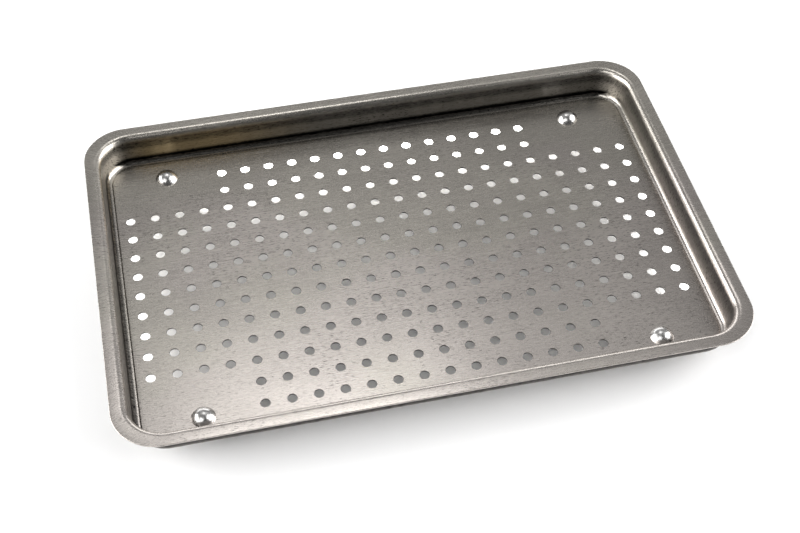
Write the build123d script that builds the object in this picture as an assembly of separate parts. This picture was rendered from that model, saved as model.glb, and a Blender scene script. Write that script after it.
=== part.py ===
from build123d import *
from math import asin, cos, radians, sin, tan
import os

# Perforated drawn tray on four riveted feet.
# Frame: +X along the long side, +Y to the rear, +Z up, in mm. The feet rest on Z = 0 and the
# middle of the rim is at X = Y = 0.

# ---- driving dimensions -------------------------------------------------------------------
SHEET = 0.8                                   # sheet the pan is drawn from
RIM_L, RIM_W, RIM_R = 306.0, 203.6, 22.0      # outside edge of the flat rim
WALL_L, WALL_W, WALL_R = 290.4, 187.6, 16.9   # inside face of the wall, level with the rim top
DRAFT = 4.0                                   # wall draft, degrees
DEPTH = 17.0                                  # rim top above the floor panel
RIM_ROUND = 3.6                               # rim top into the wall
COVE = 2.8                                    # wall into the floor
RIM_BREAK = 0.2                               # sheared edge of the rim, broken

STEP, STEP_SLOPE = 0.4, 45                    # floor panel set up above the perimeter crease
PANEL_L, PANEL_W, PANEL_R = 281.8, 179.0, 12.6

PITCH = 12.7                                  # square punching
HOLE_D = 4.76
COLS, ROWS = 22, 13
BLANK_COLS, BLANK_ROWS = 4, 2                 # left out of the punching at every corner
PUNCH_DX, PUNCH_DY = -0.6, -1.0               # punching sits this far off the middle of the rim

RIVET_X, RIVET_Y = 8.8 * PITCH, 6.15 * PITCH  # rivets, from the middle of the punching
HEAD_D, HEAD_H = 11.6, 3.8
SHANK_D = 4.8
RIVET_GAP = 0.05                              # shank to hole, per side
TAIL_D, TAIL_H, TAIL_CHAMFER = 7.0, 1.2, 0.4

FOOT_H = 9.5
FOOT_TOP_D, FOOT_TIP_D = 14.0, 11.6
FOOT_BAND, FOOT_TOP_CHAMFER, FOOT_TIP_CHAMFER = 1.6, 0.3, 0.7   # upright band above the cone
RECESS_D, RECESS_H = 8.8, 3.1
WASHER_D, WASHER_T, WASHER_CHAMFER = 8.0, 0.9, 0.15

# ---- levels -------------------------------------------------------------------------------
FLOOR_TOP = FOOT_H + SHEET
CREASE_TOP = FLOOR_TOP - STEP
PAN_BOTTOM = CREASE_TOP - SHEET
RIM_TOP = FLOOR_TOP + DEPTH
FIT_D = SHANK_D + 2 * RIVET_GAP

LEVEL_TOL, LOOP_TOL = 1e-4, 0.05              # how closely an edge must follow a named loop
CLEAR = 1.0                                   # punches run this far past the sheet, each side

CORNERS = {
    "rear_left": (-1, 1),
    "rear_right": (1, 1),
    "front_left": (-1, -1),
    "front_right": (1, -1),
}


def slab(length, width, radius, z):
    """Rounded rectangle centred on the rim at height z."""
    return Plane.XY.offset(z) * RectangleRounded(length, width, radius)


def loop_at(solid, z, length, width, radius):
    """Edges of solid that follow one rounded rectangle at height z."""
    found = []
    for e in solid.edges():
        box, mid = e.bounding_box(), e.position_at(0.5)
        if abs(box.min.Z - z) > LEVEL_TOL or abs(box.max.Z - z) > LEVEL_TOL:
            continue
        qx = abs(mid.X) - (length / 2 - radius)
        qy = abs(mid.Y) - (width / 2 - radius)
        away = (max(qx, 0) ** 2 + max(qy, 0) ** 2) ** 0.5 + min(max(qx, qy), 0) - radius
        if abs(away) < LOOP_TOL:
            found.append(e)
    return found


def drawn_in(length, width, radius, depth):
    """The same rounded rectangle, depth further down the drafted wall."""
    inset = depth * tan(radians(DRAFT))
    return length - 2 * inset, width - 2 * inset, radius - inset


def corner_xy(sx, sy):
    """Axis of the rivet, foot and washer at one corner."""
    return (PUNCH_DX + sx * RIVET_X, PUNCH_DY + sy * RIVET_Y)


def punching():
    """Hole centres: a square lattice with a block left out at every corner."""
    pts = []
    for c in range(COLS):
        for r in range(ROWS):
            near_end = c < BLANK_COLS or c >= COLS - BLANK_COLS
            near_side = r < BLANK_ROWS or r >= ROWS - BLANK_ROWS
            if near_end and near_side:
                continue
            pts.append((PUNCH_DX + (c - (COLS - 1) / 2) * PITCH,
                        PUNCH_DY + (r - (ROWS - 1) / 2) * PITCH))
    return pts


def make_pan():
    """Flat rim, drafted wall, coved crease and raised punched floor, all from one sheet."""
    down = (0, 0, -1)
    inner = (WALL_L, WALL_W, WALL_R)
    outer = (WALL_L + 2 * SHEET, WALL_W + 2 * SHEET, WALL_R + SHEET)
    # outside: rim plate with the drafted body hanging from it
    rim = extrude(slab(RIM_L, RIM_W, RIM_R, RIM_TOP), amount=SHEET, dir=down)
    skin = extrude(slab(*outer, RIM_TOP), amount=RIM_TOP - PAN_BOTTOM, dir=down, taper=DRAFT)
    skin = fillet(loop_at(skin, PAN_BOTTOM, *drawn_in(*outer, RIM_TOP - PAN_BOTTOM)), COVE + SHEET)
    body = rim + skin
    body = fillet(loop_at(body, RIM_TOP - SHEET, *drawn_in(*outer, SHEET)), RIM_ROUND - SHEET)
    # inside: drafted hollow with a coved floor
    hollow = extrude(slab(*inner, RIM_TOP), amount=RIM_TOP - CREASE_TOP, dir=down, taper=DRAFT)
    hollow = fillet(loop_at(hollow, CREASE_TOP, *drawn_in(*inner, RIM_TOP - CREASE_TOP)), COVE)
    pan = body - hollow
    pan = fillet(loop_at(pan, RIM_TOP, *inner), RIM_ROUND)
    sheared = [e for z in (RIM_TOP, RIM_TOP - SHEET) for e in loop_at(pan, z, RIM_L, RIM_W, RIM_R)]
    pan = fillet(sheared, RIM_BREAK)
    # floor panel set up by STEP, above and below, with the sheet as thick through the slope
    above = STEP
    below = STEP - SHEET * tan(radians(STEP_SLOPE / 2))
    pan += extrude(slab(PANEL_L + 2 * above, PANEL_W + 2 * above, PANEL_R + above, CREASE_TOP),
                   amount=STEP, taper=STEP_SLOPE)
    pan -= extrude(slab(PANEL_L + 2 * below, PANEL_W + 2 * below, PANEL_R + below, PAN_BOTTOM),
                   amount=STEP, taper=STEP_SLOPE)
    # punching and the four rivet holes
    low, tall = PAN_BOTTOM - CLEAR, SHEET + STEP + 2 * CLEAR
    for points, dia in ((punching(), HOLE_D), ([corner_xy(*c) for c in CORNERS.values()], FIT_D)):
        pan -= extrude(Sketch() + [Pos(x, y, low) * Circle(dia / 2) for x, y in points],
                       amount=tall)
    return pan


def make_rivet(x, y):
    """Domed head on the floor panel, shank through panel and foot, tail closed on the washer."""
    head, shank, tail = HEAD_D / 2, SHANK_D / 2, TAIL_D / 2
    top = FLOOR_TOP + HEAD_H
    tail_top = RECESS_H - WASHER_T
    tail_end = tail_top - TAIL_H
    ball = (head ** 2 + HEAD_H ** 2) / (2 * HEAD_H)
    half = asin(head / ball) / 2
    with BuildPart() as rivet:
        with BuildSketch(Plane.XZ):
            with BuildLine():
                Polyline((0, top), (0, tail_end), (tail - 2 * TAIL_CHAMFER, tail_end),
                         (tail, tail_end + TAIL_CHAMFER), (tail, tail_top), (shank, tail_top),
                         (shank, FLOOR_TOP), (head, FLOOR_TOP))
                ThreePointArc((head, FLOOR_TOP),
                              (ball * sin(half), top - ball * (1 - cos(half))), (0, top))
            make_face()
        revolve(axis=Axis.Z)
    return Pos(x, y, 0) * rivet.part


def make_foot(x, y):
    """Turned foot, bored for the rivet and recessed underneath for its closed end."""
    top, tip, bore, rec = FOOT_TOP_D / 2, FOOT_TIP_D / 2, FIT_D / 2, RECESS_D / 2
    with BuildPart() as foot:
        with BuildSketch(Plane.XZ):
            with BuildLine():
                Polyline((bore, FOOT_H), (top - FOOT_TOP_CHAMFER, FOOT_H),
                         (top, FOOT_H - FOOT_TOP_CHAMFER), (top, FOOT_H - FOOT_BAND),
                         (tip, FOOT_TIP_CHAMFER), (tip - FOOT_TIP_CHAMFER, 0), (rec, 0),
                         (rec, RECESS_H), (bore, RECESS_H), close=True)
            make_face()
        revolve(axis=Axis.Z)
    return Pos(x, y, 0) * foot.part


def make_washer(x, y):
    """Plain washer the rivet is closed against, in the roof of the foot's recess."""
    disc = Circle(WASHER_D / 2) - Circle(FIT_D / 2)
    washer = extrude(Plane.XY.offset(RECESS_H - WASHER_T) * disc, amount=WASHER_T)
    washer = chamfer(washer.faces().sort_by(Axis.Z)[0].outer_wire().edges(), WASHER_CHAMFER)
    return Pos(x, y, 0) * washer


os.makedirs("parts", exist_ok=True)
export_step(make_pan(), "parts/pan.step")
for where, (sx, sy) in CORNERS.items():
    x, y = corner_xy(sx, sy)
    export_step(make_rivet(x, y), f"parts/rivet_{where}.step")
    export_step(make_foot(x, y), f"parts/foot_{where}.step")
    export_step(make_washer(x, y), f"parts/rivet_washer_{where}.step")
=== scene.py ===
"""Looks for the perforated tray: brushed sheet, polished rivets, turned feet, white table, studio light."""
import math

import bpy
from mathutils import Matrix, Vector
from mathutils.geometry import delaunay_2d_cdt


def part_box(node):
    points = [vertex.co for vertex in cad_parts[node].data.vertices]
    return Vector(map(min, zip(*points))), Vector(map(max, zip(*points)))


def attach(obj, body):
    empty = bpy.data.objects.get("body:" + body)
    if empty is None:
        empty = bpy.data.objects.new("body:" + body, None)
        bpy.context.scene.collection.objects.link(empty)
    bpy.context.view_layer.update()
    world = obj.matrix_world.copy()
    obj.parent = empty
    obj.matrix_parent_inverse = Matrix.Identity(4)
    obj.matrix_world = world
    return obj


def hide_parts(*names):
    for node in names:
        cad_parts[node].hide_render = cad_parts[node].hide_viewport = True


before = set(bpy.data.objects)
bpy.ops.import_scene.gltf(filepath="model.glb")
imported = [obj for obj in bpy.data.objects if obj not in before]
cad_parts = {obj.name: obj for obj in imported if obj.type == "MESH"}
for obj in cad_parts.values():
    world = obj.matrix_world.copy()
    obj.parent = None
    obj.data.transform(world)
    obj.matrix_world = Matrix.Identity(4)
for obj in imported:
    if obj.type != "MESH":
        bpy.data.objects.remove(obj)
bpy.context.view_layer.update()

# ---- driving dimensions, in metres ---------------------------------------------------------
MM = 0.001
CORNERS = ("rear_left", "rear_right", "front_left", "front_right")
SHEET = 0.8 * MM
DRAFT_ANGLE = math.radians(4)                  # the wall's lean from upright
DRAFT = math.tan(DRAFT_ANGLE)
WALL_BEND = math.pi / 2 - DRAFT_ANGLE          # turn of the sheet at the wall's foot and at the rim
STEP_BEND = math.radians(45)                   # turn of the sheet at both edges of the step
DEPTH = 17.0 * MM                              # rim top above the floor panel
STEP = 0.4 * MM                                # floor panel above the crease around it
PITCH = 12.7 * MM
COLS, ROWS = 22, 13
BLANK_COLS, BLANK_ROWS = 4, 2                  # left out of the punching at every corner
WALL_INSET_X, WALL_INSET_Y = 7.8 * MM, 8.0 * MM    # rim edge to the inside of the wall
WALL_R, RIM_R = 16.9 * MM, 22.0 * MM
PANEL_INSET = 4.45 * MM                        # wall to the step, on the level of the rim
STEP_ROUND, COVE, RIM_ROUND, RIM_BREAK = 0.5 * MM, 2.8 * MM, 3.6 * MM, 0.2 * MM
STEP_UNDER = 0.1 * MM                          # radius of the step's bends, seen from below

pan_low, pan_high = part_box("pan")
RIM_TOP = pan_high.z
FLOOR_TOP = RIM_TOP - DEPTH
CREASE_TOP = FLOOR_TOP - STEP
WALL_X = pan_high.x - WALL_INSET_X
WALL_Y = pan_high.y - WALL_INSET_Y


def middle(node_name):
    """Point on a CAD node's axis, halfway up."""
    low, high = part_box(node_name)
    return (low + high) / 2


RIVETS = [middle("rivet_" + where).xy for where in CORNERS]
PUNCH = sum(RIVETS, Vector((0, 0))) / len(RIVETS)   # middle of the punching


# ---- mesh helpers -------------------------------------------------------------------------
# the sheared finish also carries painted shade in the hole throats
BRUSHED, SHEARED = 0, 1                             # finishes of the pan's faces


class Skin:
    """Collects points, faces, UVs and exact normals for one mesh."""

    def __init__(self):
        self.points = []
        self.normals = []
        self.faces = []
        self.maps = []
        self.finishes = []
        self.sharp = set()

    def add(self, point, normal=(0, 0, 0)):
        """A new vertex; a zero normal is worked out from its faces."""
        self.points.append(tuple(point))
        self.normals.append(tuple(normal))
        return len(self.points) - 1

    def face(self, corners, uvs, finish=BRUSHED):
        """A new face with its place on the grain map and the number of its finish."""
        self.faces.append(tuple(corners))
        self.maps.append(tuple(uvs))
        self.finishes.append(finish)

    def crease(self, ring):
        """Marks the edges along a closed ring as sharp."""
        for a, b in zip(ring, ring[1:] + ring[:1]):
            self.sharp.add((min(a, b), max(a, b)))

    def build(self, name, finishes):
        """Makes the mesh and its object, smooth apart from the creased rings."""
        mesh = bpy.data.meshes.new(name)
        mesh.from_pydata(self.points, [], self.faces)
        layer = mesh.uv_layers.new(name="grain")
        flat = [c for uvs in self.maps for uv in uvs for c in uv]
        layer.data.foreach_set("uv", flat)
        for mat in finishes:
            mesh.materials.append(mat)
        mesh.polygons.foreach_set("material_index", self.finishes)
        mesh.polygons.foreach_set("use_smooth", [True] * len(mesh.polygons))
        for edge in mesh.edges:
            if tuple(sorted(edge.vertices)) in self.sharp:
                edge.use_edge_sharp = True
        mesh.normals_split_custom_set_from_vertices(self.normals)
        piece = bpy.data.objects.new(name, mesh)
        bpy.context.scene.collection.objects.link(piece)
        return piece


def filleted(corners, turn=math.radians(7)):
    """Polyline through (x, y, radius) corners with every corner rounded, an arc point every turn."""
    points = [Vector(corners[0][:2])]
    for before, (x, y, radius), after in zip(corners, corners[1:], corners[2:]):
        here = Vector((x, y))
        arrive = (here - Vector(before[:2])).normalized()
        leave = (Vector(after[:2]) - here).normalized()
        angle = arrive.angle_signed(leave)          # clockwise turns are positive
        reach = radius * math.tan(abs(angle) / 2)
        side = Vector((arrive.y, -arrive.x)) * math.copysign(radius, angle)
        start = here - arrive * reach
        centre = start + side
        steps = max(2, math.ceil(abs(angle) / turn))
        for k in range(steps + 1):
            points.append(centre + Matrix.Rotation(-angle * k / steps, 2) @ -side)
    points.append(Vector(corners[-1][:2]))
    return points


def spread(points, longest):
    """The same polyline with its long runs divided."""
    full = [points[0]]
    for a, b in zip(points, points[1:]):
        steps = max(1, math.ceil((b - a).length / longest))
        full += [a.lerp(b, k / steps) for k in range(1, steps + 1)]
    return full


# ---- the pan ------------------------------------------------------------------------------
BEND_END = RIM_ROUND * math.tan(WALL_BEND / 2)      # where the rounded bend meets the flat rim
SIDE_STEPS_X, SIDE_STEPS_Y, CORNER_STEPS = 40, 26, 20
LONGEST_RUN = 3.5 * MM                              # between two loops of points round the pan
WALK = 2.0 * MM                                     # from the innermost loop to the panel's edge
HOLE_STEPS, RIVET_STEPS = 32, 24
# radius and drop, in mm, of a punched hole: rolled over at the top, sheared, then broken out below
HOLE_SHAPE = [(2.50, 0.0), (2.42, -0.025), (2.38, -0.10), (2.38, -0.70), (2.42, -0.80)]
RIVET_SHAPE = [(2.45, 0.0), (2.45, -0.80)]
HOLE_CLEAR = 4.2 * MM                               # points between the holes keep this far off
UNDER_SHIFT = 1.0                                   # metres from the top to the underside on the grain map
WAVE = 0.10 * MM                                    # how far the floor is out of flat
EDGE_FADE = 24 * MM                                 # the waves grow over this distance from the edge
HEAD_FLAT, HEAD_FADE = 7 * MM, 14 * MM              # flat round a rivet, then growing


def smooth(x):
    """Smooth step from 0 to 1."""
    x = min(max(x, 0.0), 1.0)
    return x * x * (3 - 2 * x)


def wave(x, y):
    """Height of the floor's slight waviness, 7 to 20 cm long: none at its edge and under the rivet heads."""
    edge = min(WALL_X - PANEL_INSET - abs(x), WALL_Y - PANEL_INSET - abs(y))
    calm = smooth(edge / EDGE_FADE)
    for rivet in RIVETS:
        calm *= smooth(((Vector((x, y)) - rivet).length - HEAD_FLAT) / HEAD_FADE)
    long_wave = math.sin(x * 31 + 0.8) * math.cos(y * 43 - 0.6)
    short_wave = math.sin(x * 67 + y * 29 + 2.1) + math.sin(y * 83 - x * 37)
    return WAVE * calm * (0.6 * long_wave + 0.3 * short_wave)


def wave_normal(x, y, reach=0.2 * MM):
    """Normal of the wavy floor, from its height a little way off."""
    dx = wave(x + reach, y) - wave(x - reach, y)
    dy = wave(x, y + reach) - wave(x, y - reach)
    return Vector((-dx, -dy, 2 * reach)).normalized()


def outline(d):
    """Half length, half width and corner radius of the loop d outside the wall's inside face."""
    wall = Vector((WALL_X, WALL_Y, WALL_R))
    if d <= BEND_END:
        return wall + Vector((d, d, d))
    inner = wall + Vector((BEND_END, BEND_END, BEND_END))
    outer = Vector((pan_high.x, pan_high.y, RIM_R))
    return inner.lerp(outer, (d - BEND_END) / (WALL_INSET_X - BEND_END))


def loop(d):
    """Points round the pan at offset d, counter-clockwise from the right side, with outward normals."""
    a, b, r = outline(d)
    found = []
    for quarter in range(4):
        turn = quarter * math.pi / 2
        along, steps = ((b, SIDE_STEPS_Y), (a, SIDE_STEPS_X))[quarter % 2]
        sign = (Vector((1, 1)), Vector((-1, 1)), Vector((-1, -1)), Vector((1, -1)))[quarter]
        ahead = Vector((math.cos(turn), math.sin(turn)))
        centre = Vector(((a - r) * sign.x, (b - r) * sign.y))
        side = Vector((-ahead.y, ahead.x))
        for k in range(steps):
            back = side * (2 * (along - r)) * (1 - k / steps)
            found.append((centre + ahead * r - back, ahead))
        for k in range(CORNER_STEPS):
            angle = turn + (math.pi / 2) * k / CORNER_STEPS
            out = Vector((math.cos(angle), math.sin(angle)))
            found.append((centre + out * r, out))
    return found


def section():
    """The sheet's section from the floor out over the rim and back underneath, as (offset, height)."""
    slope = SHEET * math.tan(STEP_BEND / 2)         # sideways shift of the underside at the step
    mitre = SHEET * math.tan(WALL_BEND / 2)         # and at the bends of the wall
    inset = -(RIM_TOP - CREASE_TOP) * DRAFT
    step = -PANEL_INSET
    corners = [
        (step - WALK, FLOOR_TOP, 0),
        (step, FLOOR_TOP, STEP_ROUND),
        (step + STEP, CREASE_TOP, STEP_ROUND),
        (inset, CREASE_TOP, COVE),
        (0, RIM_TOP, RIM_ROUND),
        (WALL_INSET_X, RIM_TOP, RIM_BREAK),
        (WALL_INSET_X, RIM_TOP - SHEET, RIM_BREAK),
        (mitre, RIM_TOP - SHEET, RIM_ROUND - SHEET),
        (inset + mitre, CREASE_TOP - SHEET, COVE + SHEET),
        (step + STEP - slope, CREASE_TOP - SHEET, STEP_UNDER),
        (step - slope, FLOOR_TOP - SHEET, STEP_UNDER),
        (step - slope - WALK, FLOOR_TOP - SHEET, 0),
    ]
    return spread(filleted(corners), LONGEST_RUN)


def hole_centres():
    """Centres of the punched holes, column by column."""
    for c in range(COLS):
        for r in range(ROWS):
            near_end = c < BLANK_COLS or c >= COLS - BLANK_COLS
            near_side = r < BLANK_ROWS or r >= ROWS - BLANK_ROWS
            if not (near_end and near_side):
                yield PUNCH + PITCH * Vector((c - (COLS - 1) / 2, r - (ROWS - 1) / 2))


def make_wall(skin):
    """Step, cove, wall, bend and rim, top and underside. Returns the first and last rings."""
    profile = section()
    walked = [0.0]
    for a, b in zip(profile, profile[1:]):
        walked.append(walked[-1] + (b - a).length)
    under_rim = (i for i, p in enumerate(profile) if p.y < RIM_TOP - SHEET / 2 and p.x > BEND_END)
    first_under = next(under_rim)                   # the profile runs back from here
    base = loop(profile[0].x)
    rings = []
    for p in profile:
        rings.append([skin.add((q.x, q.y, p.y)) for q, out in loop(p.x)])
    n = len(rings[0])

    def spot(i, j, under):
        """Unrolled place of ring i, point j: the sheet as it was before drawing."""
        point, out = base[j % n]
        s = walked[-1] - walked[i] if under else walked[i]
        place = point + out * s
        return (place.x + (UNDER_SHIFT if under else 0.0), place.y)

    for i in range(len(profile) - 1):
        under = i >= first_under
        for j in range(n):
            k = (j + 1) % n
            skin.face((rings[i][j], rings[i + 1][j], rings[i + 1][k], rings[i][k]),
                      (spot(i, j, under), spot(i + 1, j, under),
                       spot(i + 1, k, under), spot(i, k, under)))
    return rings[0], rings[-1]


def make_holes(skin):
    """Every hole as a stack of rings. Returns each hole's rings, the top one first."""
    holes = [(c, HOLE_SHAPE, HOLE_STEPS) for c in hole_centres()]
    holes += [(c, RIVET_SHAPE, RIVET_STEPS) for c in RIVETS]
    made = []
    for centre, shape, steps in holes:
        rings = []
        for level, (radius, drop) in enumerate(shape):
            ring = []
            for k in range(steps):
                angle = 2 * math.pi * k / steps
                x = centre.x + radius * MM * math.cos(angle)
                y = centre.y + radius * MM * math.sin(angle)
                normal = wave_normal(x, y) if level == 0 else (0, 0, 0)
                ring.append(skin.add((x, y, FLOOR_TOP + drop * MM + wave(x, y)), normal))
            rings.append(ring)
        for a, b in zip(rings, rings[1:]):
            for j in range(steps):
                k = (j + 1) % steps
                face = (a[k], b[k], b[j], a[j])
                skin.face(face, [hole_spot(skin.points[v], centre) for v in face], SHEARED)
        skin.crease(rings[-1])
        made.append(rings)
    return made


def hole_spot(point, centre):
    """Place of a point in a hole on the grain map: pulled in towards the centre as it goes down."""
    flat = Vector(point[:2])
    deep = FLOOR_TOP - point[2]
    inward = (centre - flat).normalized() * deep
    return tuple(flat + inward)


def make_floor(skin, edge_top, edge_under, holes):
    """The punched panel, top and underside, filled between the panel's edge and the holes."""
    rings_top = [edge_top] + [rings[0] for rings in holes]
    rings_under = [edge_under] + [rings[-1] for rings in holes]
    top = [v for ring in rings_top for v in ring]
    under = [v for ring in rings_under for v in ring]
    owner = [i for i, ring in enumerate(rings_top) for v in ring]
    edges = []
    for ring in rings_top:
        start = len(edges)
        edges += [(start + k, start + (k + 1) % len(ring)) for k in range(len(ring))]
    flat = [Vector(skin.points[v][:2]) for v in top]
    for x, y in between_holes():
        flat.append(Vector((x, y)))
        owner.append(-1)
        top.append(skin.add((x, y, FLOOR_TOP + wave(x, y))))
        under.append(skin.add((x, y, FLOOR_TOP - SHEET + wave(x, y))))
    inside_only, tolerance = 1, 1e-7
    result = delaunay_2d_cdt(flat, edges, [], inside_only, tolerance)
    faces, source = result[2], [group[0] for group in result[3]]
    for face in faces:
        a, b, c = (source[v] for v in face)
        if owner[a] == owner[b] == owner[c] and owner[a] > 0:
            continue                                # this triangle would close a hole
        uvs = [flat[v] for v in (a, b, c)]
        skin.face((top[a], top[b], top[c]), [(p.x, p.y) for p in uvs])
        skin.face((under[c], under[b], under[a]), [(p.x + UNDER_SHIFT, p.y) for p in reversed(uvs)])


def between_holes():
    """Half-pitch grid points on the panel that stand clear of its edge and of every hole."""
    centres = list(hole_centres()) + RIVETS
    half_x = WALL_X - PANEL_INSET - WALK - HOLE_CLEAR
    half_y = WALL_Y - PANEL_INSET - WALK - HOLE_CLEAR
    for i in range(-COLS, COLS + 1):
        for j in range(-ROWS, ROWS + 1):
            spot = PUNCH + Vector((i, j)) * PITCH / 2
            inside = abs(spot.x) < half_x and abs(spot.y) < half_y
            if inside and all((spot - c).length > HOLE_CLEAR for c in centres):
                yield spot.x, spot.y


def make_pan(brushed, sheared_and_shaded):
    """The whole pan in place of its CAD node."""
    skin = Skin()
    edge_top, edge_under = make_wall(skin)
    make_floor(skin, edge_top, edge_under, make_holes(skin))
    pan = skin.build("pan_sheet", (brushed, sheared_and_shaded))
    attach(pan, "root")
    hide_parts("pan")


# ---- node helpers -------------------------------------------------------------------------
def new_material(name):
    """An empty material and its node tree."""
    mat = bpy.data.materials.new(name)
    mat.use_nodes = True
    mat.node_tree.nodes.clear()
    return mat, mat.node_tree


def node(tree, kind, **values):
    """Adds a node; values set its properties, or its inputs by name, by a link if given a socket."""
    n = tree.nodes.new(kind)
    for key, value in values.items():
        if key not in n.inputs:
            setattr(n, key, value)
        elif isinstance(value, bpy.types.NodeSocket):
            tree.links.new(value, n.inputs[key])
        else:
            n.inputs[key].default_value = value
    return n


def maths(tree, operation, *values):
    """Result of one sum on sockets or plain numbers."""
    n = tree.nodes.new("ShaderNodeMath")
    n.operation = operation
    for socket, value in zip(n.inputs, values):
        if isinstance(value, bpy.types.NodeSocket):
            tree.links.new(value, socket)
        else:
            socket.default_value = value
    return n.outputs[0]


def vector_maths(tree, operation, one, other=None):
    """The node for one sum on vectors; the second may be a plain one, or none."""
    n = node(tree, "ShaderNodeVectorMath", operation=operation)
    tree.links.new(one, n.inputs[0])
    if other:
        n.inputs[1].default_value = other
    return n


def total(tree, *values):
    """Sum of several sockets or numbers."""
    result = values[0]
    for value in values[1:]:
        result = maths(tree, "ADD", result, value)
    return result


def product(tree, *values):
    """Product of several sockets or numbers."""
    result = values[0]
    for value in values[1:]:
        result = maths(tree, "MULTIPLY", result, value)
    return result


def swing(tree, value, amount):
    """(value - 0.5) * amount: a texture turned into a signed change."""
    return product(tree, maths(tree, "SUBTRACT", value, 0.5), amount)


def step_up(tree, value, low, high, to_low=0.0, to_high=1.0):
    """Smooth step of value: to_low up to low, to_high from high on."""
    n = node(tree, "ShaderNodeMapRange", interpolation_type="SMOOTHSTEP", Value=value)
    n.inputs["From Min"].default_value = low
    n.inputs["From Max"].default_value = high
    n.inputs["To Min"].default_value = to_low
    n.inputs["To Max"].default_value = to_high
    return n.outputs[0]


def step_down(tree, value, low, high):
    """Smooth step of value from 1 at low to 0 at high."""
    return step_up(tree, value, low, high, 1.0, 0.0)


def stretched(tree, place, scale, turn=0.0):
    """Coordinates turned about Z, then multiplied by scale."""
    if turn:
        place = node(tree, "ShaderNodeVectorRotate", Vector=place, Angle=turn).outputs[0]
    return vector_maths(tree, "MULTIPLY", place, scale).outputs[0]


def noise(tree, place, scale, detail=2.0, rough=0.5, turn=0.0):
    """Noise between 0 and 1, with about scale features to the metre in each direction."""
    n = node(tree, "ShaderNodeTexNoise", Vector=stretched(tree, place, scale, turn),
             Scale=1.0, Detail=detail, Roughness=rough)
    return n.outputs["Fac"]


def scaled_colour(tree, colour, factor):
    """A plain colour times a socket."""
    n = node(tree, "ShaderNodeVectorMath", operation="SCALE")
    n.inputs[0].default_value = colour
    tree.links.new(factor, n.inputs["Scale"])
    return n.outputs[0]


def mixed(tree, factor, one, other):
    """One colour where factor is 0, the other where it is 1."""
    n = node(tree, "ShaderNodeMix", data_type="RGBA")
    tree.links.new(factor, n.inputs["Factor"])
    tree.links.new(one, n.inputs[6])
    tree.links.new(other, n.inputs[7])
    return n.outputs[2]


def bump(tree, height, depth):
    """Normal of a surface raised by height (0 to 1) times depth metres."""
    return node(tree, "ShaderNodeBump", Height=height, Distance=depth, Strength=1.0).outputs[0]


def principled(tree, **values):
    """The surface shader, linked to the material's output."""
    shader = node(tree, "ShaderNodeBsdfPrincipled", **values)
    out = node(tree, "ShaderNodeOutputMaterial")
    tree.links.new(shader.outputs[0], out.inputs["Surface"])
    return shader


# ---- finishes -----------------------------------------------------------------------------
def sheet_zones(tree, place):
    """Masks from 0 to 1 for parts of the pan, and the slope that turns its colour rosy to the front; some
    masks place painted shade and painted reflections.
    """
    solid = node(tree, "ShaderNodeTexCoord").outputs["Object"]
    x, y, z = node(tree, "ShaderNodeSeparateXYZ", Vector=solid).outputs
    along, across, _ = node(tree, "ShaderNodeSeparateXYZ", Vector=place).outputs
    under = step_up(tree, along, 0.45 * UNDER_SHIFT, 0.55 * UNDER_SHIFT)
    inside = maths(tree, "SUBTRACT", 1.0, under)
    rear = product(tree, inside, step_up(tree, y, 70 * MM, 90 * MM))
    left = product(tree, inside, step_down(tree, x, -139 * MM, -136 * MM))
    right = product(tree, inside, step_up(tree, x, 139 * MM, 142 * MM))

    wall = product(tree, step_up(tree, z, FLOOR_TOP + 0.4 * MM, FLOOR_TOP + 3.0 * MM),
                   step_down(tree, z, RIM_TOP - 4.0 * MM, RIM_TOP - 1.0 * MM))
    foot = step_down(tree, z, FLOOR_TOP + 1.5 * MM, FLOOR_TOP + 5 * MM)
    upper = step_up(tree, z, FLOOR_TOP + 4 * MM, FLOOR_TOP + 11 * MM)
    top = step_up(tree, z, RIM_TOP - 9 * MM, RIM_TOP - 6 * MM)

    past_x = maths(tree, "SUBTRACT", maths(tree, "ABSOLUTE", x), WALL_X - PANEL_INSET)
    past_y = maths(tree, "SUBTRACT", maths(tree, "ABSOLUTE", across), WALL_Y - PANEL_INSET)
    past_panel = step_up(tree, maths(tree, "MAXIMUM", past_x, past_y), 1.0 * MM, 2.2 * MM)
    # painted dark reflection: a darker band on the upper right wall and just under the rim of the rear wall
    dark = maths(tree, "MAXIMUM", product(tree, right, upper), product(tree, rear, top))
    # painted warm reflection: a gold tint over the left part of the rear wall
    gold_reflection_span = product(tree, step_up(tree, x, -138 * MM, -118 * MM), step_down(tree, x, -90 * MM, -20 * MM))
    return {
        "under": under,
        "wall": wall,
        "rim": step_up(tree, z, RIM_TOP - 2.5 * MM, RIM_TOP - 0.3 * MM),
        "forward": product(tree, y, -1.5),
        # painted shade in the crease at the foot of the rear and left walls, just outside the floor panel
        "painted_crease_shade": product(tree, past_panel, foot, maths(tree, "MAXIMUM", rear, left)),
        "band": product(tree, wall, dark),
        "painted_gold_reflection": product(tree, wall, rear, gold_reflection_span),
    }


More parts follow.
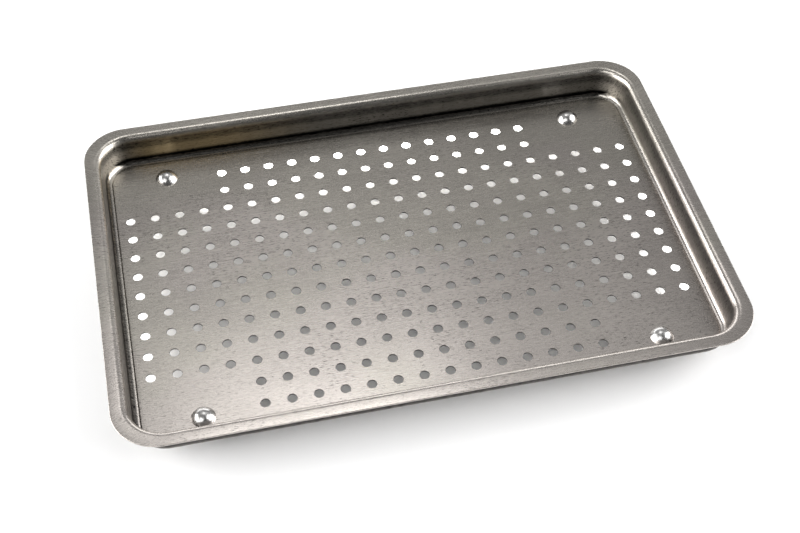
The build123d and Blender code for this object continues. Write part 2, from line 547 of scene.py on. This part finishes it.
def sheet_steel():
    """Brushed sheet, the grain along the tray: fine lines, streaks, dark pits, blotches; painted shade on
    the walls, their foot and the underside, and a painted warm reflection on the rear wall.
    """
    mat, tree = new_material("sheet_steel")
    place = node(tree, "ShaderNodeUVMap", uv_map="grain").outputs[0]
    zone = sheet_zones(tree, place)

    fine = noise(tree, place, (220, 1600, 1), detail=4, rough=0.65)
    streak = noise(tree, place, (40, 900, 1), detail=3, rough=0.6)
    blotch = noise(tree, place, (14, 20, 1), detail=4, rough=0.6)
    cloud = noise(tree, place, (60, 90, 1), detail=3)
    patch = step_up(tree, noise(tree, place, (13, 16, 1), detail=2), 0.45, 0.60)
    pit = step_up(tree, noise(tree, place, (380, 2100, 1), detail=2, rough=0.6), 0.57, 0.66)
    pits = product(tree, pit, total(tree, patch, 0.5))
    scratch = step_up(tree, noise(tree, place, (7, 1900, 1), detail=1), 0.66, 0.74)
    rub = noise(tree, place, (240, 1700, 1), detail=3, turn=math.radians(38))

    marks = total(tree, swing(tree, fine, 0.52), swing(tree, streak, 0.20), swing(tree, blotch, 0.14),
                  swing(tree, cloud, 0.10), product(tree, zone["rim"], swing(tree, rub, 0.16)),
                  product(tree, pits, -0.50), product(tree, scratch, 0.05))
    # painted shade: the walls are darkened, their foot in the rear and left crease darker still, a band high
    # on the walls darker again, and the underside with the outer walls darker, which also cuts the light
    # bounced under the pan
    painted_shade = total(tree, product(tree, zone["wall"], -0.48), product(tree, zone["painted_crease_shade"], -0.75),
                   product(tree, zone["under"], -0.38), product(tree, zone["band"], -0.30))
    shade = total(tree, 1.0, marks, painted_shade)

    warm = scaled_colour(tree, (0.505, 0.476, 0.430), shade)
    rosy = scaled_colour(tree, (0.512, 0.473, 0.443), shade)
    # colour of the painted warm reflection on the rear wall
    painted_gold_reflection = scaled_colour(tree, (0.850, 0.670, 0.400), shade)
    drift = noise(tree, place, (11, 15, 1), detail=2)
    tint = step_up(tree, total(tree, drift, zone["forward"]), 0.38, 0.62)
    colour = mixed(tree, zone["painted_gold_reflection"], mixed(tree, tint, warm, rosy), painted_gold_reflection)

    rough = total(tree, 0.27, swing(tree, fine, 0.06), swing(tree, blotch, 0.10),
                  swing(tree, streak, 0.06), product(tree, pits, 0.12), product(tree, zone["wall"], 0.12))
    relief = total(tree, product(tree, fine, 0.4), streak)
    grain = node(tree, "ShaderNodeTangent", direction_type="UV_MAP", uv_map="grain").outputs[0]
    shader = principled(tree, Metallic=1.0, Roughness=rough, Anisotropic=0.45, Tangent=grain)
    shader.inputs["Anisotropic Rotation"].default_value = 0.25
    tree.links.new(colour, shader.inputs["Base Color"])
    tree.links.new(bump(tree, relief, 0.008 * MM), shader.inputs["Normal"])
    return mat


def sheared_steel_painted_shade():
    """Edges and throats of the holes: torn and rougher below; their dark colour is painted shade, darker
    still lower down.
    """
    mat, tree = new_material("sheared_steel_painted_shade")
    solid = node(tree, "ShaderNodeTexCoord").outputs["Object"]
    height = node(tree, "ShaderNodeSeparateXYZ", Vector=solid).outputs["Z"]
    tear = noise(tree, solid, (2600, 2600, 260), detail=3)
    torn = step_down(tree, total(tree, height, swing(tree, tear, 0.4 * MM)),
                     FLOOR_TOP - 0.55 * MM, FLOOR_TOP - 0.30 * MM)
    shade = total(tree, 1.0, swing(tree, tear, 0.5), product(tree, torn, -0.35))
    rough = total(tree, 0.30, product(tree, torn, 0.25))
    shader = principled(tree, Metallic=1.0, Roughness=rough)
    # painted shade: the dark base colour of the hole throats
    tree.links.new(scaled_colour(tree, (0.17, 0.162, 0.152), shade), shader.inputs["Base Color"])
    tree.links.new(bump(tree, tear, 0.03 * MM), shader.inputs["Normal"])
    return mat


def polished_steel():
    """Set rivet heads: bright, lumpy from the snap, finely scuffed."""
    mat, tree = new_material("polished_steel")
    solid = node(tree, "ShaderNodeTexCoord").outputs["Object"]
    lump = noise(tree, solid, (380, 380, 380), detail=1)
    scuff = noise(tree, solid, (900, 2600, 900), detail=3, turn=math.radians(20))
    stain = noise(tree, solid, (260, 260, 260), detail=3)
    shade = total(tree, 1.0, swing(tree, scuff, 0.14), swing(tree, stain, 0.22))
    rough = total(tree, 0.26, swing(tree, scuff, 0.08), swing(tree, stain, 0.12))
    relief = total(tree, lump, product(tree, scuff, 0.05))
    shader = principled(tree, Metallic=1.0, Roughness=rough)
    tree.links.new(scaled_colour(tree, (0.56, 0.55, 0.54), shade), shader.inputs["Base Color"])
    tree.links.new(bump(tree, relief, 0.10 * MM), shader.inputs["Normal"])
    return mat


def from_axis(tree, solid):
    """Distance of a point from the axis of its own corner's rivet, foot and washer."""
    across = vector_maths(tree, "SUBTRACT", solid, (*PUNCH, 0)).outputs[0]
    folded = vector_maths(tree, "ABSOLUTE", across).outputs[0]
    local = vector_maths(tree, "SUBTRACT", folded, (*(RIVETS[1] - PUNCH), 0)).outputs[0]
    flat = vector_maths(tree, "MULTIPLY", local, (1, 1, 0)).outputs[0]
    return vector_maths(tree, "LENGTH", flat).outputs["Value"]


def turned_steel():
    """Feet and washers: fine lathe rings round the axis, stained in places."""
    mat, tree = new_material("turned_steel")
    solid = node(tree, "ShaderNodeTexCoord").outputs["Object"]
    height = node(tree, "ShaderNodeSeparateXYZ", Vector=solid).outputs["Z"]
    rings = node(tree, "ShaderNodeCombineXYZ", X=from_axis(tree, solid), Y=height).outputs[0]
    ring = noise(tree, rings, (5200, 5200, 1), detail=3)
    stain = noise(tree, solid, (240, 240, 240), detail=4, rough=0.6)
    nick = step_up(tree, noise(tree, solid, (900, 900, 900), detail=2), 0.62, 0.74)
    shade = total(tree, 1.0, swing(tree, ring, 0.16), swing(tree, stain, 0.30),
                  product(tree, nick, -0.20))
    rough = total(tree, 0.30, swing(tree, ring, 0.12), swing(tree, stain, 0.20))
    relief = total(tree, ring, product(tree, nick, -0.6))
    shader = principled(tree, Metallic=1.0, Roughness=rough)
    tree.links.new(scaled_colour(tree, (0.565, 0.555, 0.540), shade), shader.inputs["Base Color"])
    tree.links.new(bump(tree, relief, 0.008 * MM), shader.inputs["Normal"])
    return mat


def dress(node_name, mat):
    """Gives a CAD node its finish."""
    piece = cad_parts[node_name]
    for slot in piece.material_slots:
        slot.material = mat
    for face in piece.data.polygons:
        face.use_smooth = True


make_pan(sheet_steel(), sheared_steel_painted_shade())
POLISHED, TURNED = polished_steel(), turned_steel()
for where in CORNERS:
    dress("rivet_" + where, POLISHED)
    dress("foot_" + where, TURNED)
    dress("rivet_washer_" + where, TURNED)


# ---- table --------------------------------------------------------------------------------
def make_table(reach):
    """A white table top that goes on for reach metres to every side."""
    mesh = bpy.data.meshes.new("table")
    corners = [(-reach, -reach, 0), (reach, -reach, 0), (reach, reach, 0), (-reach, reach, 0)]
    mesh.from_pydata(corners, [], [(0, 1, 2, 3)])
    table = bpy.data.objects.new("table", mesh)
    bpy.context.scene.collection.objects.link(table)
    mat, tree = new_material("table_white")
    shader = principled(tree, Roughness=0.6)
    shader.inputs["Base Color"].default_value = (0.9, 0.9, 0.9, 1)
    mesh.materials.append(mat)


make_table(5.0)

# ---- light --------------------------------------------------------------------------------
FAR, NEAR = 2.3, 1.15                               # from the tray to the soft boxes, in metres
STRIP_GAP = 0.5 * MM                                # above and below a strip light


def toward(azimuth, elevation, distance):
    """Point seen from the tray at an azimuth from the rear, clockwise, and an elevation, in degrees."""
    a, e = math.radians(azimuth), math.radians(elevation)
    return distance * Vector((math.sin(a) * math.cos(e), math.cos(a) * math.cos(e), math.sin(e)))


def shine(name, place, ahead, width, height, strength):
    """A rectangular light at a place, shining ahead, hidden from the camera; strength is its radiance."""
    data = bpy.data.lights.new(name, "AREA")
    data.shape = "RECTANGLE"
    data.size, data.size_y = width, height
    data.energy = strength * math.pi * width * height
    light = bpy.data.objects.new(name, data)
    light.location = place
    light.rotation_euler = ahead.to_track_quat("-Z", "Y").to_euler()
    light.visible_camera = False
    bpy.context.scene.collection.objects.link(light)


def softbox(name, azimuth, elevation, distance, width, height, strength):
    """A soft box facing the tray."""
    place = toward(azimuth, elevation, distance)
    shine(name, place, -place, width, height, strength)


def strip(name, side, length, strength):
    """A strip light under one edge of the floor panel, shining in between the table and the pan."""
    height = CREASE_TOP - SHEET - 2 * STRIP_GAP
    edge = (WALL_X if side.x else WALL_Y) - PANEL_INSET
    place = side * edge + Vector((0, 0, STRIP_GAP + height / 2))
    shine(name, place, -side, length, height, strength)


def make_world():
    """A dim white studio, brighter to the rear."""
    world = bpy.data.worlds.new("studio")
    world.use_nodes = True
    tree = world.node_tree
    sky = tree.nodes["Background"]
    sky.inputs["Color"].default_value = (1, 1, 1, 1)
    ahead = node(tree, "ShaderNodeTexCoord").outputs["Generated"]
    rearward = node(tree, "ShaderNodeSeparateXYZ", Vector=ahead).outputs["Y"]
    tree.links.new(step_up(tree, rearward, -0.3, 0.3, 0.08, 0.30), sky.inputs["Strength"])
    bpy.context.scene.world = world


# side, length, strength
strip("rear_strip", Vector((0, 1, 0)), 0.27, 29.0)
strip("left_strip", Vector((-1, 0, 0)), 0.12, 5.0)
strip("right_strip", Vector((1, 0, 0)), 0.12, 8.0)
# azimuth, elevation, distance, width, height, strength
softbox("left_box", 275, 20, FAR, 2.80, 1.60, 7.2)
softbox("right_box", 98, 20, FAR, 2.40, 1.20, 7.5)
softbox("right_high_box", 100, 50, FAR, 1.60, 0.90, 4.2)
softbox("front_left_box", 225, 55, FAR, 1.20, 1.20, 2.6)
softbox("rear_low_box", 0, 12, FAR, 2.80, 0.70, 2.8)
softbox("rear_top_box", 10, 62, NEAR, 0.80, 0.20, 0.9)
softbox("rear_spot_box", 3, 66, NEAR, 0.36, 0.20, 3.7)
make_world()

# ---- camera -------------------------------------------------------------------------------
# The camera's place is in pitches from the middle of the punching; its directions are unit vectors.
EYE = Vector((*PUNCH, FLOOR_TOP)) + PITCH * Vector((-8.1528, -34.3828, 41.1158))
VIEW = Vector((0.14695, 0.62740, -0.76470))
RIGHT = Vector((0.97602, -0.21748, 0.00913))


def make_camera():
    """The camera at EYE, looking along VIEW with RIGHT to its right."""
    data = bpy.data.cameras.new("camera")
    data.sensor_width = 36
    data.lens = 60.7
    camera = bpy.data.objects.new("camera", data)
    up = RIGHT.cross(VIEW).normalized()
    turn = Matrix((RIGHT, up, -VIEW)).transposed().to_4x4()
    camera.matrix_world = Matrix.Translation(EYE) @ turn
    bpy.context.scene.collection.objects.link(camera)
    bpy.context.scene.camera = camera


make_camera()
bpy.context.scene.view_settings.view_transform = "Standard"
